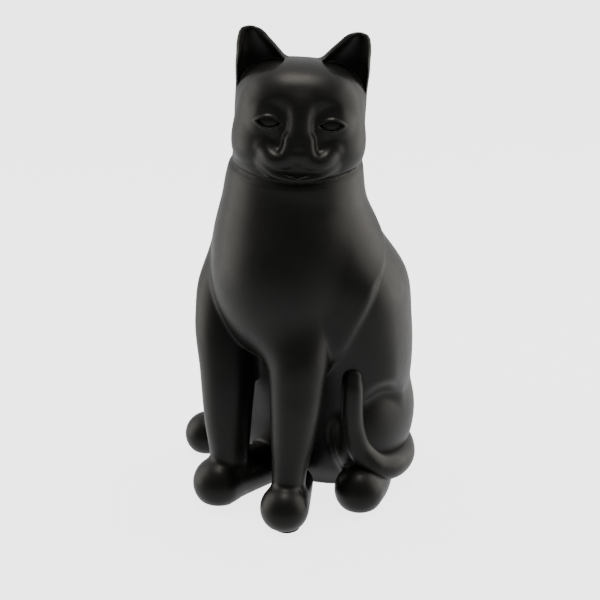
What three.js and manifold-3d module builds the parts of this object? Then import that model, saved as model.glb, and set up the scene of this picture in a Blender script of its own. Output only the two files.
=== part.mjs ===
// A seated ceramic cat, slip-cast and hollow, looking to its left with its tail brought round its left side.
// Millimetres. The cat faces -Y, its left side is +X, and +Z is up.
import * as THREE from 'three';
import { mergeVertices } from 'three/addons/utils/BufferGeometryUtils.js';
import Module from 'manifold-3d';

const wasm = await Module();
wasm.setup();

// Driving dimensions
const trunkHeight = 170; // from the base to the top of the neck
const trunkWidth = 96; // flank to flank
const trunkDepth = 96; // chest to back
const wall = 4; // cast wall of the trunk and the head
const gap = 0.3; // between pieces that meet
const neckLength = 13.3; // from the seam between trunk and head to the top of the neck
const headWidth = 54.4;
const headDepth = 52;
const headHeight = 48;
const headLift = 2.7; // middle of the head above the top of the neck
const headTurn = 35; // degrees towards the cat's left
const headTilt = 3; // degrees, left cheek down
const muzzleWidth = 27;
const earHeight = 30.9; // from the root inside the head to the tip
const earWidth = 27;
const earThickness = 12;
const earRim = 1.8; // rim left round the cup of the ear
const legDiameter = 20; // foreleg above the ankle
const pawWidth = 22.4;
const pawLength = 37;
const hindPawWidth = 21;
const hindPawLength = 34;
const tailDiameter = 12;
const tailTipDiameter = 9;
const padDiameter = 12;
const padThickness = 1;
const plateThickness = 6;
const holeDiameter = 25; // vent and filling hole through the base plate
const seatLedge = 3; // width of the counterbore that takes the stopper's flange
const seatDepth = 2.6;
const plugLength = 12; // stopper above its flange
const plugWall = 3;
const tabThickness = 2.5; // finger tab across the stopper's hollow

const baseHeight = padThickness + gap; // underside of the ceramic
const neckSeam = baseHeight + trunkHeight - neckLength;
const seatDiameter = holeDiameter + 2 * seatLedge;
const rad = THREE.MathUtils.degToRad;

// Materials
const ceramic = (name) => new THREE.MeshStandardMaterial({ name, color: 0x141412, roughness: 0.42, metalness: 0 });
const rawClay = new THREE.MeshStandardMaterial({ name: 'raw_clay', color: 0x2b2a27, roughness: 0.9, metalness: 0 });
const rubber = new THREE.MeshStandardMaterial({ name: 'rubber', color: 0x1c1c1d, roughness: 0.75, metalness: 0 });
const felt = new THREE.MeshStandardMaterial({ name: 'felt', color: 0x2a2a2a, roughness: 1, metalness: 0 });

// A three.js geometry as a solid that can be joined and cut.
function toSolid(geometry) {
  const bare = geometry.index ? geometry.clone() : geometry;
  bare.deleteAttribute('normal');
  bare.deleteAttribute('uv');
  const merged = mergeVertices(bare, 1e-4);
  return new wasm.Manifold(
    new wasm.Mesh({
      numProp: 3,
      vertProperties: new Float32Array(merged.attributes.position.array),
      triVerts: new Uint32Array(merged.index.array),
    }),
  );
}

// The largest connected part of a solid, without the slivers that a grazing cut leaves.
function mainPart(solid) {
  return solid.decompose().reduce((best, part) => (part.volume() > best.volume() ? part : best));
}

function piece(name, solid, material) {
  const data = mainPart(solid).getMesh();
  const geometry = new THREE.BufferGeometry();
  geometry.setAttribute('position', new THREE.BufferAttribute(data.vertProperties, 3));
  geometry.setIndex(new THREE.BufferAttribute(data.triVerts, 1));
  geometry.computeVertexNormals();
  const mesh = new THREE.Mesh(geometry, material);
  mesh.name = name;
  return mesh;
}

// A closed skin over rings of points, from a first pole to a last pole. Rings run anticlockwise about the way up.
function skin(firstPole, rings, lastPole) {
  const sides = rings[0].length;
  const points = [firstPole, ...rings.flat(), lastPole];
  const last = points.length - 1;
  const at = (ring, side) => 1 + ring * sides + (side % sides);
  const index = [];
  for (let side = 0; side < sides; side += 1) {
    index.push(0, at(0, side + 1), at(0, side));
    index.push(last, at(rings.length - 1, side), at(rings.length - 1, side + 1));
    for (let ring = 0; ring < rings.length - 1; ring += 1) {
      index.push(at(ring, side), at(ring, side + 1), at(ring + 1, side + 1));
      index.push(at(ring, side), at(ring + 1, side + 1), at(ring + 1, side));
    }
  }
  const geometry = new THREE.BufferGeometry().setFromPoints(points);
  geometry.setIndex(index);
  return toSolid(geometry);
}

// An oval ring with its own depth to the front and to the back.
function oval(x, y, z, halfWidth, front, back, sides) {
  return Array.from({ length: sides }, (_, side) => {
    const turn = (2 * Math.PI * side) / sides;
    const depth = Math.sin(turn) < 0 ? front : back;
    return new THREE.Vector3(x + halfWidth * Math.cos(turn), y + depth * Math.sin(turn), z);
  });
}

// A rounded mass: a ball stretched to three half sizes.
function mass([x, y, z], [rx, ry, rz], extra = 0, lean = 0) {
  const geometry = new THREE.SphereGeometry(1, 20, 14);
  geometry.scale(rx + extra, ry + extra, rz + extra);
  geometry.rotateX(rad(lean));
  geometry.translate(x, y, z);
  return toSolid(geometry);
}

// A round limb through [x, y, z, radius] stops, rounded off at both ends.
function limb(stops, extra = 0, steps = 10, sides = 14) {
  const path = new THREE.CatmullRomCurve3(stops.map(([x, y, z]) => new THREE.Vector3(x, y, z)));
  const frames = path.computeFrenetFrames(steps);
  const capRows = 2;
  const radiusAt = (share) => {
    const place = share * (stops.length - 1);
    const stop = Math.min(Math.floor(place), stops.length - 2);
    return THREE.MathUtils.lerp(stops[stop][3], stops[stop + 1][3], place - stop) + extra;
  };
  const ring = (share, frame, ahead, size) => {
    const centre = path.getPoint(share).addScaledVector(frames.tangents[frame], ahead);
    return Array.from({ length: sides }, (_, side) => {
      const turn = (2 * Math.PI * side) / sides;
      return centre.clone()
        .addScaledVector(frames.normals[frame], size * Math.cos(turn))
        .addScaledVector(frames.binormals[frame], size * Math.sin(turn));
    });
  };
  const rings = [];
  for (let row = 1; row <= capRows; row += 1) {
    const angle = (Math.PI / 2) * (row / (capRows + 1));
    rings.push(ring(0, 0, -radiusAt(0) * Math.cos(angle), radiusAt(0) * Math.sin(angle)));
  }
  for (let step = 0; step <= steps; step += 1) {
    rings.push(ring(step / steps, step, 0, radiusAt(step / steps)));
  }
  for (let row = capRows; row >= 1; row -= 1) {
    const angle = (Math.PI / 2) * (row / (capRows + 1));
    rings.push(ring(1, steps, radiusAt(1) * Math.cos(angle), radiusAt(1) * Math.sin(angle)));
  }
  const start = path.getPoint(0).addScaledVector(frames.tangents[0], -radiusAt(0));
  const end = path.getPoint(1).addScaledVector(frames.tangents[steps], radiusAt(1));
  return skin(start, rings, end);
}

// Everything between two heights.
function slab(low, high) {
  const span = 3 * (trunkWidth + trunkDepth);
  return toSolid(new THREE.BoxGeometry(span, span, high - low).translate(0, 0, (low + high) / 2));
}

function post(diameter, low, high) {
  const geometry = new THREE.CylinderGeometry(diameter / 2, diameter / 2, high - low, 40);
  return toSolid(geometry.rotateX(Math.PI / 2).translate(0, 0, (low + high) / 2));
}

const join = (...solids) => solids.reduce((sum, solid) => sum.add(solid));
const aboveBase = slab(baseHeight, baseHeight + 2 * trunkHeight);

// Trunk: ovals at shares of its height. Centre x, half width in shares of the width;
// centre y, front and back in shares of the depth.
const trunkRows = [
  { up: 0.0, x: -0.06, y: 0.4, half: 0.36, front: 0.23, back: 0.4 },
  { up: 0.07, x: -0.06, y: 0.385, half: 0.435, front: 0.26, back: 0.43 },
  { up: 0.19, x: -0.05, y: 0.355, half: 0.48, front: 0.25, back: 0.48 },
  { up: 0.34, x: -0.03, y: 0.3, half: 0.51, front: 0.26, back: 0.51 },
  { up: 0.49, x: -0.01, y: 0.27, half: 0.51, front: 0.435, back: 0.51 },
  { up: 0.61, x: 0.0, y: 0.24, half: 0.48, front: 0.45, back: 0.5 },
  { up: 0.72, x: 0.0, y: 0.2, half: 0.4, front: 0.385, back: 0.43 },
  { up: 0.81, x: 0.01, y: 0.18, half: 0.325, front: 0.325, back: 0.345 },
  { up: 0.9, x: 0.02, y: 0.165, half: 0.285, front: 0.28, back: 0.29 },
  { up: 1.0, x: 0.04, y: 0.165, half: 0.21, front: 0.21, back: 0.22 },
];
const trunkLine = new THREE.CubicInterpolant(
  trunkRows.map((row) => row.up),
  trunkRows.flatMap(({ x, y, half, front, back }) => [x, y, half, front, back]),
  5,
);

// The trunk's section at a share of its height, in millimetres.
function trunkSection(up) {
  const [x, y, half, front, back] = trunkLine.evaluate(up);
  return {
    x: x * trunkWidth,
    y: y * trunkDepth,
    z: baseHeight + up * trunkHeight,
    half: half * trunkWidth,
    front: front * trunkDepth,
    back: back * trunkDepth,
  };
}

// A point on the trunk's skin, at a bearing in degrees from +X towards +Y, standing off by some distance.
function onTrunk(up, bearing, standOff) {
  const { x, y, z, half, front, back } = trunkSection(up);
  const across = Math.cos(rad(bearing));
  const along = Math.sin(rad(bearing));
  const depth = along < 0 ? front : back;
  return [x + (half + standOff) * across, y + (depth + standOff) * along, z];
}

// Haunches: one rounded mass on each side, as shares of the trunk's width, depth and height.
const haunches = [
  { x: 0.27, y: 0.44, up: 0.19 },
  { x: -0.37, y: 0.36, up: 0.2 },
].map(({ x, y, up }) => ({
  centre: [x * trunkWidth, y * trunkDepth, baseHeight + up * trunkHeight],
  half: [0.16 * trunkWidth, 0.26 * trunkDepth, 0.165 * trunkHeight],
}));

// The trunk and its haunches, grown by some distance, or shrunk to make the hollow.
function trunk(extra, rows = 15, sides = 28) {
  const rings = Array.from({ length: rows + 1 }, (_, row) => {
    const { x, y, z, half, front, back } = trunkSection(row / rows);
    return oval(x, y, z, half + extra, front + extra, back + extra, sides);
  });
  const { x, y, z } = trunkSection(0);
  const top = trunkSection(1);
  const core = skin(new THREE.Vector3(x, y, z), rings, new THREE.Vector3(top.x, top.y, top.z));
  return join(core, ...haunches.map(({ centre, half }) => mass(centre, half, extra, -15)));
}

const trunkOuter = trunk(0);
const trunkGrown = trunk(gap);
const trunkHollow = trunk(-wall, 9, 20);

// Head: its own frame sits at its middle and is turned and tilted.
const headGroup = new THREE.Group();
headGroup.position.set(0.04 * trunkWidth, 0.167 * trunkDepth, baseHeight + trunkHeight + headLift);
headGroup.rotation.set(0, rad(headTilt), rad(headTurn), 'ZYX');
headGroup.updateMatrix();
const intoHead = headGroup.matrix.clone().invert().elements;
const outOfHead = headGroup.matrix.elements;

function head(extra) {
  const half = [headWidth / 2, headDepth / 2, headHeight / 2];
  const muzzleHalf = [muzzleWidth / 2, 0.22 * headDepth, 0.22 * headHeight];
  const muzzle = mass([0, -0.3 * headDepth, -0.26 * headHeight], muzzleHalf, extra);
  return join(mass([0, 0, 0], half, extra), muzzle);
}

const seamPlane = slab(neckSeam, 2 * trunkHeight);
const neckRing = trunkOuter.intersect(seamPlane).transform(intoHead);
const headOuter = head(0).add(neckRing);
const headHollow = join(head(-wall), trunkHollow.transform(intoHead));
headGroup.add(piece('head_casting', headOuter.subtract(headHollow), ceramic('glazed_ceramic_head')));

// Ears: ovals from the root to the tip, in shares of the ear's height, width and thickness.
const earRows = [
  { up: 0.0, out: 0.0, half: 0.5, thick: 0.5 },
  { up: 0.31, out: 0.04, half: 0.48, thick: 0.5 },
  { up: 0.56, out: 0.08, half: 0.44, thick: 0.42 },
  { up: 0.73, out: 0.16, half: 0.35, thick: 0.34 },
  { up: 0.88, out: 0.225, half: 0.23, thick: 0.25 },
  { up: 0.96, out: 0.255, half: 0.14, thick: 0.18 },
];
const earRoot = { x: 0.276 * headWidth, y: 0.06 * headDepth, z: 0.1 * headHeight };
const headGrown = head(gap);

function earSkin(side, shrink, forward) {
  const place = (row) => side * (earRoot.x + row.out * earWidth);
  const height = earHeight - shrink;
  const rings = earRows.map((row) =>
    oval(
      place(row),
      earRoot.y - forward,
      earRoot.z + row.up * height,
      row.half * earWidth - shrink,
      row.thick * earThickness,
      Math.max(row.thick * earThickness - shrink, 0.4),
      20,
    ),
  );
  const tip = new THREE.Vector3(side * (earRoot.x + 0.265 * earWidth), earRoot.y - forward, earRoot.z + height);
  return skin(new THREE.Vector3(place(earRows[0]), earRoot.y - forward, earRoot.z), rings, tip);
}

[
  ['left_ear', 1],
  ['right_ear', -1],
].forEach(([name, side]) => {
  const cup = earSkin(side, earRim, 0.35 * earThickness);
  const ear = earSkin(side, 0, 0).subtract(cup).subtract(headGrown);
  headGroup.add(piece(name, ear, ceramic(`glazed_ceramic_${name}`)));
});

// Trunk casting: open at the neck and at the base, dished at the throat where the chin comes down.
const chin = headGrown.transform(outOfHead);
const trunkShell = trunkOuter.subtract(trunkHollow).subtract(chin).subtract(slab(neckSeam - gap, 2 * trunkHeight));

// Forelegs: a limb from the shoulder to the ankle, with a long paw under it.
const forelegs = [
  { name: 'left_foreleg', side: 1, pawX: 0.208 * trunkWidth, pawY: -0.175 * trunkDepth },
  { name: 'right_foreleg', side: -1, pawX: -0.182 * trunkWidth, pawY: -0.165 * trunkDepth },
].map((leg) => {
  const ankle = legDiameter / 2;
  const low = baseHeight + 0.42 * pawWidth;
  const paw = pawWidth / 2;
  const column = limb([
    [leg.side * 0.18 * trunkWidth, -0.01 * trunkDepth, baseHeight + 0.55 * trunkHeight, 1.4 * ankle],
    [0.98 * leg.pawX, leg.pawY + 0.11 * trunkDepth, baseHeight + 0.38 * trunkHeight, 1.25 * ankle],
    [leg.pawX, leg.pawY + 0.085 * trunkDepth, baseHeight + 0.22 * trunkHeight, 1.05 * ankle],
    [leg.pawX, leg.pawY + 0.08 * trunkDepth, low + 0.4 * pawWidth, 0.98 * ankle],
  ]);
  const foot = limb(
    [
      [leg.pawX, leg.pawY, low, paw],
      [0.97 * leg.pawX, leg.pawY + (pawLength - pawWidth) / 2, low, 0.93 * paw],
      [0.95 * leg.pawX, leg.pawY + pawLength - pawWidth, low, 0.85 * paw],
    ],
    0,
    4,
  );
  const solid = column.add(foot).subtract(trunkGrown).intersect(aboveBase);
  return { ...leg, solid };
});

// Hind paws: short round limbs that come out from under the haunches.
function hindPaw({ pawX, pawY, backX }, extra) {
  const low = baseHeight + 0.4 * hindPawWidth;
  const paw = hindPawWidth / 2;
  const back = pawY + hindPawLength - hindPawWidth;
  return limb([[pawX, pawY, low, paw], [(pawX + backX) / 2, (pawY + back) / 2, low, paw], [backX, back, low, 0.9 * paw]], extra, 6);
}
const hindPaws = [
  { name: 'left_hind_paw', pawX: 0.39 * trunkWidth, pawY: 0.156 * trunkDepth, backX: 0.36 * trunkWidth },
  { name: 'right_hind_paw', pawX: -0.555 * trunkWidth, pawY: 0.177 * trunkDepth, backX: -0.42 * trunkWidth },
];

// Tail: from behind, round the left side and over the left hind paw, then up against the flank.
const tailMid = tailDiameter / 2;
const tailEnd = tailTipDiameter / 2;
const tailPath = [
  [...onTrunk(0.06, 74, 0.25 * tailDiameter), tailMid],
  [...onTrunk(0.07, 42, 0.4 * tailDiameter), tailMid],
  [...onTrunk(0.08, 16, 0.6 * tailDiameter), tailMid],
  [...onTrunk(0.09, -8, 0.7 * tailDiameter), tailMid],
  [...onTrunk(0.12, -32, 0.6 * tailDiameter), THREE.MathUtils.lerp(tailMid, tailEnd, 0.25)],
  [...onTrunk(0.17, -42, 0.4 * tailDiameter), THREE.MathUtils.lerp(tailMid, tailEnd, 0.5)],
  [...onTrunk(0.25, -43, 0.3 * tailDiameter), THREE.MathUtils.lerp(tailMid, tailEnd, 0.75)],
  [...onTrunk(0.37, -42, 0.3 * tailDiameter), tailEnd],
];
const tail = join(limb(tailPath, 0, 28, 12))
  .subtract(trunkGrown)
  .subtract(hindPaw(hindPaws[0], gap))
  .intersect(aboveBase);

// Base plate: fills the trunk's open base inside the wall, with the hole and the stopper's seat.
const hole = { x: -0.06 * trunkWidth, y: 0.42 * trunkDepth };
const plateTop = baseHeight + plateThickness;
const plateOutline = trunk(-wall - gap, 9, 20).intersect(slab(baseHeight, plateTop));
const plateCuts = join(
  post(holeDiameter, baseHeight - 1, plateTop + 1),
  post(seatDiameter, baseHeight - 1, baseHeight + seatDepth),
).translate(hole.x, hole.y, 0);

// Stopper: a flanged plug with a hollow in its underside, and a finger tab across the hollow.
const plugRadius = holeDiameter / 2 - gap;
const flangeRadius = seatDiameter / 2 - gap;
const flangeThickness = seatDepth - 2 * gap;
const plugHollow = plugRadius - plugWall;
const hollowDepth = flangeThickness + plugLength - plugWall;
const stopperOutline = [
  [0, hollowDepth],
  [plugHollow, hollowDepth],
  [plugHollow, 0],
  [flangeRadius, 0],
  [flangeRadius, flangeThickness],
  [plugRadius, flangeThickness],
  [plugRadius, flangeThickness + 0.75 * plugLength],
  [0.88 * plugRadius, flangeThickness + plugLength],
  [0, flangeThickness + plugLength],
].map(([x, y]) => new THREE.Vector2(x, y));
const plug = toSolid(new THREE.LatheGeometry(stopperOutline, 40).rotateX(Math.PI / 2));
const tab = toSolid(
  new THREE.BoxGeometry(2 * plugHollow + plugWall, tabThickness, hollowDepth).translate(0, 0, hollowDepth / 2 + 0.5),
);

const figure = new THREE.Group();
figure.add(headGroup);
figure.add(piece('body_casting', trunkShell.intersect(aboveBase), ceramic('glazed_ceramic_body')));
forelegs.forEach(({ name, solid }) => figure.add(piece(name, solid, ceramic(`glazed_ceramic_${name}`))));
hindPaws.forEach((paw) => {
  const solid = hindPaw(paw, 0).subtract(trunkGrown).intersect(aboveBase);
  figure.add(piece(paw.name, solid, ceramic(`glazed_ceramic_${paw.name}`)));
});
figure.add(piece('tail', tail, ceramic('glazed_ceramic_tail')));
figure.add(piece('base_plate', plateOutline.subtract(plateCuts), rawClay));

const stopper = piece('stopper', plug.add(tab), rubber);
stopper.position.set(hole.x, hole.y, baseHeight + gap);
figure.add(stopper);

// Felt pads: under the forepaws and under the back of the base plate.
const rearPadY = 0.66 * trunkDepth;
const padSpots = [
  ['pad_front_left', forelegs[0].pawX, forelegs[0].pawY],
  ['pad_front_right', forelegs[1].pawX, forelegs[1].pawY],
  ['pad_rear_left', 0.12 * trunkWidth, rearPadY],
  ['pad_rear_right', -0.24 * trunkWidth, rearPadY],
];
padSpots.forEach(([name, x, y]) => {
  const pad = piece(name, post(padDiameter, 0, padThickness), felt.clone());
  pad.position.set(x, y, 0);
  figure.add(pad);
});

// The origin is the middle of the box on the ground.
const group = new THREE.Group();
group.add(figure);
group.updateMatrixWorld(true);
const box = new THREE.Box3().setFromObject(group, true);
const middle = box.getCenter(new THREE.Vector3());
figure.position.set(-middle.x, -middle.y, 0);
group.updateMatrixWorld(true);

export default group;
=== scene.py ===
# A seated cat in satin black ceramic: the looks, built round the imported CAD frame.
import math
import bmesh
import bpy
import numpy as np
import openvdb
from mathutils import Matrix, Vector


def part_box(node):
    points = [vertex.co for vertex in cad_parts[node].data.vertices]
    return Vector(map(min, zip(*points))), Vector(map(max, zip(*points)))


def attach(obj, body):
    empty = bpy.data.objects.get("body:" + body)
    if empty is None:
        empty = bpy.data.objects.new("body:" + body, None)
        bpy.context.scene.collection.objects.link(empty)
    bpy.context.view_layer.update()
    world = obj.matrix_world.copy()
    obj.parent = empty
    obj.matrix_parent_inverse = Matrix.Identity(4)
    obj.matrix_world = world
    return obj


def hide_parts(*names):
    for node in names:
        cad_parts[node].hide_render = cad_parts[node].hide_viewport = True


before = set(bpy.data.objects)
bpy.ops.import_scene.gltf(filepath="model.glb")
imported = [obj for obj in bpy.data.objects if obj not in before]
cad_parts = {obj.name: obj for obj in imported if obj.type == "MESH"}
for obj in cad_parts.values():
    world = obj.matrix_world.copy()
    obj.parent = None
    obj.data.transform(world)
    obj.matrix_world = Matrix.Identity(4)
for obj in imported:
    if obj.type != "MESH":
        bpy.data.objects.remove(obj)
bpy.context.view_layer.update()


mm = 0.001
print("stage: frame loaded")

# Forms are drawn in millimetres in the cat's own frame: it faces -Y, its left side is +X, and
# its middle line is at x = 0. The hole for the stopper stands at a known place in it, so the
# CAD stopper gives the shift between the two frames.
holePlace = np.array([-5.76, 40.32])
stopperLow, stopperHigh = (np.array(corner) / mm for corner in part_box("stopper"))
plateLow, plateHigh = (np.array(corner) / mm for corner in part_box("base_plate"))
shift = np.array([*((stopperLow + stopperHigh)[:2] / 2 - holePlace), 0.0])
baseZ = float(plateLow[2])  # underside of the fired ceramic


# Each form gives a distance in millimetres, negative inside.
def softMin(a, b, k):
    h = np.maximum(k - np.abs(a - b), 0) / k
    return np.minimum(a, b) - h * h * k * 0.25


def softMax(a, b, k):
    return -softMin(-a, -b, k)


def fade(value, start, stop):
    t = np.clip((value - start) / (stop - start), 0, 1)
    return t * t * (3 - 2 * t)


def spin(a, b, degrees):
    c, s = math.cos(math.radians(degrees)), math.sin(math.radians(degrees))
    return a * c + b * s, b * c - a * s


def local(p, centre, turn=0.0, lean=0.0, roll=0.0):
    x, y, z = (p[:, i] - centre[i] for i in range(3))
    x, y = spin(x, y, turn)
    y, z = spin(y, z, lean)
    x, z = spin(x, z, roll)
    return x, y, z


# A rounded mass; a power over 2 makes it boxier.
def mass(p, centre, radii, turn=0.0, lean=0.0, roll=0.0, power=2.0):
    shares = [np.abs(v) / r + 1e-9 for v, r in zip(local(p, centre, turn, lean, roll), radii)]
    level = sum(s ** power for s in shares) ** (1 / power)
    steep = sum(((s / level) ** (power - 1) / r) ** 2 for s, r in zip(shares, radii)) ** 0.5
    return (level - 1) / steep


# Points along a smooth curve through the stops.
def along(stops, steps=8):
    stops = np.array(stops, float)
    ends = np.vstack([2 * stops[0] - stops[1], stops, 2 * stops[-1] - stops[-2]])
    out = []
    for a, b, c, d in zip(ends[:-3], ends[1:-2], ends[2:-1], ends[3:]):
        for t in np.arange(steps) / steps:
            out.append(0.5 * (2 * b + (c - a) * t + (2 * a - 5 * b + 4 * c - d) * t * t
                              + (3 * b - a - 3 * c + d) * t ** 3))
    return np.array(out + [stops[-1]])


# A round limb through stops of x, y, z and radius.
def limb(p, stops, steps=8):
    path = along(stops, steps)
    low, high = path[:, :3].min(0) - 25, path[:, :3].max(0) + 25
    near = np.all((p > low) & (p < high), axis=1)
    q = p[near]
    best = np.full(len(q), 1e3)
    for a, b in zip(path[:-1], path[1:]):
        way = b[:3] - a[:3]
        t = np.clip((q - a[:3]) @ way / (way @ way), 0, 1)
        off = q - a[:3] - t[:, None] * way
        best = np.minimum(best, np.sqrt((off * off).sum(1)) - (a[3] + (b[3] - a[3]) * t))
    away = np.maximum(low - p, p - high).max(1) + 20
    away[near] = best
    return away


# Level ovals up a height: rows of height, middle x, middle y, half width, front and back depth.
def stack(p, rows):
    rows = np.array(rows, float)
    heights = rows[:, 0]
    z = np.clip(p[:, 2], heights[0], heights[-1])
    i = np.clip(np.searchsorted(heights, z) - 1, 0, len(heights) - 2)
    step = heights[i + 1] - heights[i]
    t = (z - heights[i]) / step
    values = []
    for column in rows[:, 1:].T:
        rise = np.gradient(column, heights)
        values.append((2 * t ** 3 - 3 * t * t + 1) * column[i] + (t ** 3 - 2 * t * t + t) * step * rise[i]
                      + (3 * t * t - 2 * t ** 3) * column[i + 1] + (t ** 3 - t * t) * step * rise[i + 1])
    cx, cy, half, front, back = values
    x, y = p[:, 0] - cx, p[:, 1] - cy
    depth = np.where(y < 0, front, back)
    level = np.sqrt((x / half) ** 2 + (y / depth) ** 2) + 1e-9
    steep = np.sqrt((x / half ** 2) ** 2 + (y / depth ** 2) ** 2) / level + 1e-9
    side = np.maximum((level - 1) / steep, -np.minimum(half, depth)) * 0.92
    return np.maximum(side, np.maximum(heights[0] - p[:, 2], p[:, 2] - heights[-1]))


trunk = {
    "rows": [  # up, x, y, half width, front, back
        (-6.0, -5.8, 39.0, 33.0, 21.0, 37.0),
        (1.3, -5.8, 38.4, 34.6, 22.0, 38.4),
        (13.2, -5.8, 37.0, 41.8, 25.0, 41.3),
        (33.6, -4.8, 34.1, 46.1, 24.0, 46.1),
        (59.1, -2.9, 28.8, 50.2, 25.0, 50.0),
        (84.6, -1.4, 25.9, 49.6, 31.0, 49.0),
        (105.0, 0.0, 23.0, 46.1, 31.5, 48.0),
        (123.7, -0.6, 18.4, 37.0, 30.5, 39.5),
        (139.0, -0.2, 16.0, 30.2, 29.0, 31.0),
        (154.3, 1.3, 15.2, 27.2, 27.2, 27.4),
        (171.3, 3.8, 15.8, 23.0, 22.0, 23.0),
    ],
    "wall": 4.0,
    "footRound": 1.6,  # soft edge where the skin turns under the foot
}
chest = {"centre": (1.5, 3.0, 108.0), "radii": (30.5, 24.5, 38.0),
         "creaseSpan": (98, 138), "creaseSoft": (2.0, 9.0)}  # the crease round it fades upwards
rightForeleg = {
    "rows": [  # up, x, y, half width, front, back
        (8, -16.8, -10, 8.4, 8.4, 8.4),
        (20, -17, -10, 8.8, 8.8, 8.8),
        (38, -18.2, -9, 10.6, 10.6, 10.6),
        (62, -19.5, -6.5, 12.6, 12.6, 12.6),
        (86, -23.5, -1, 14.4, 14.4, 14.4),
        (106, -25, 8, 14.8, 14.8, 14.8),
        (120, -21, 14, 10.5, 10.5, 10.5),
        (132, -14, 18, 4.5, 4.5, 4.5),
    ],
    "paw": [(-18.3, -16.8, 9.8, 11.8), (-17, -8, 9.6, 11.2), (-13, 9, 8.6, 10.5)],
    "soft": 5.0,
}
leftForeleg = {
    "rows": [
        (8, 17.2, -12, 6.8, 7.6, 7.6),
        (20, 17.4, -11.6, 7.2, 7.8, 7.8),
        (38, 18.0, -9.4, 9.2, 9.6, 9.6),
        (62, 18.4, -6.8, 11.8, 12, 12),
        (84, 16.6, -2.5, 13.5, 13.5, 13.5),
        (102, 12, 6, 11, 11, 11),
        (116, 8, 12, 5, 5, 5),
    ],
    "paw": [(19.3, -17.5, 9.8, 10.8), (17.2, -11, 9.2, 9.4), (10, 6, 8.0, 7.0)],
    "soft": 9.0,
}
haunches = [
    {"centre": (29.5, 38.5, 34.0), "radii": (16.2, 27.0, 29.0), "soft": 2.8},
    {"centre": (-36.0, 34.0, 33.0), "radii": (16.0, 25.0, 28.0), "soft": 6.0},
]
# the left flank is drawn in above the thigh, where the tail comes round
flankDip = {"centre": (53.0, 14.0, 33.0), "radii": (20.0, 30.0, 31.0), "soft": 3.0}
# the left shoulder stands a little proud of the flank; its rear edge as pairs of height and y
shoulder = {
    "proud": 2.1,
    "edge": [(58, 3), (67, 4), (80, 5), (95, 8), (109, 15), (116, 26), (124, 37), (140, 44)],
    "steep": 0.7,
    "edgeSoft": 4.0,
    "soft": 2.0,
    "inner": (4.0, 30.0),  # it comes in over this span of x
    "low": (58.0, 76.0),  # and over this span of height
}
foreSoft, haunchLean = 2.5, -15
leftHindPaw = {"stops": [(37.8, 14.6, 9.8, 11.3), (36.3, 24, 9.2, 10.4), (32, 38, 8.6, 9)], "soft": 3.0}
rightHindPaw = {"stops": [(-52.8, 16.4, 9.8, 10.9), (-47.5, 26, 9.4, 10.4), (-40, 40, 9, 10)], "soft": 4.0}


shoulderLine = along([(up, back, 0, 0) for up, back in shoulder["edge"]])[:, :2]


# The whole body without its head: the trunk, then what stands out from it, softly joined.
def bodyForm(p):
    d = stack(p, trunk["rows"])
    d = softMax(d, -mass(p, flankDip["centre"], flankDip["radii"]), flankDip["soft"])
    behind = (p[:, 1] - np.interp(p[:, 2], *shoulderLine.T)) * shoulder["steep"]
    proud = shoulder["proud"] * fade(p[:, 0], *shoulder["inner"]) * fade(p[:, 2], *shoulder["low"])
    raised = softMax(stack(p, trunk["rows"]) - proud, behind, shoulder["edgeSoft"])
    d = softMin(d, raised, shoulder["soft"])
    for haunch in haunches:
        d = softMin(d, mass(p, haunch["centre"], haunch["radii"], lean=haunchLean), haunch["soft"])
    d = softMin(d, stack(p, rightForeleg["rows"]), rightForeleg["soft"])
    breast = mass(p, chest["centre"], chest["radii"])
    front = softMin(breast, stack(p, leftForeleg["rows"]), leftForeleg["soft"])
    d = softMin(d, front, np.interp(p[:, 2], chest["creaseSpan"], chest["creaseSoft"]))
    for paw in (rightForeleg["paw"], leftForeleg["paw"]):
        d = softMin(d, limb(p, paw), foreSoft)
    for paw in (leftHindPaw, rightHindPaw):
        d = softMin(d, limb(p, paw["stops"]), paw["soft"])
    return d


head = {
    "centre": (4.0, 16.0, 174.2),
    "turn": 35.0,  # towards the cat's left
    "roll": 3.5,  # its left cheek down
    "radii": (26.6, 25.6, 24.2),
    "power": 2.6,
    "jowls": {"centre": (12.5, -7.5, -10.5), "radii": (13.6, 15.0, 13.0), "soft": 8.0},
    "neckSoft": 1.6,
}
ears = {
    "rows": [  # up, out, y, half width, front, back
        (2.0, 14.2, 3.1, 12.6, 13.0, 6.5),
        (14.4, 15.3, 3.1, 12.1, 12.5, 6.0),
        (20.0, 16.2, 3.1, 11.5, 10.5, 5.4),
        (24.0, 17.4, 3.1, 10.2, 6.5, 4.8),
        (28.0, 19.2, 3.1, 8.4, 3.6, 4.0),
        (31.6, 20.8, 3.1, 6.3, 2.6, 3.0),
        (33.6, 21.5, 3.1, 4.9, 2.0, 2.2),
        (34.8, 21.9, 3.1, 3.2, 1.4, 1.4),
        (35.4, 22.0, 3.1, 1.2, 0.7, 0.7),
    ],
    "rim": 1.0,
    "backWall": 2.2,
    "soft": 2.5,
    "cupDeep": (6, 12),  # how far forward the cup stands, and its depth in front
    # the arched line where the brow meets the cup
    "arch": {"low": 8.0, "high": 14.6, "out": 7, "half": 19.8, "back": 0.1, "steep": 0.8},
    "ledgeSoft": 0.6,
    "cupSoft": 0.7,
}
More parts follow.
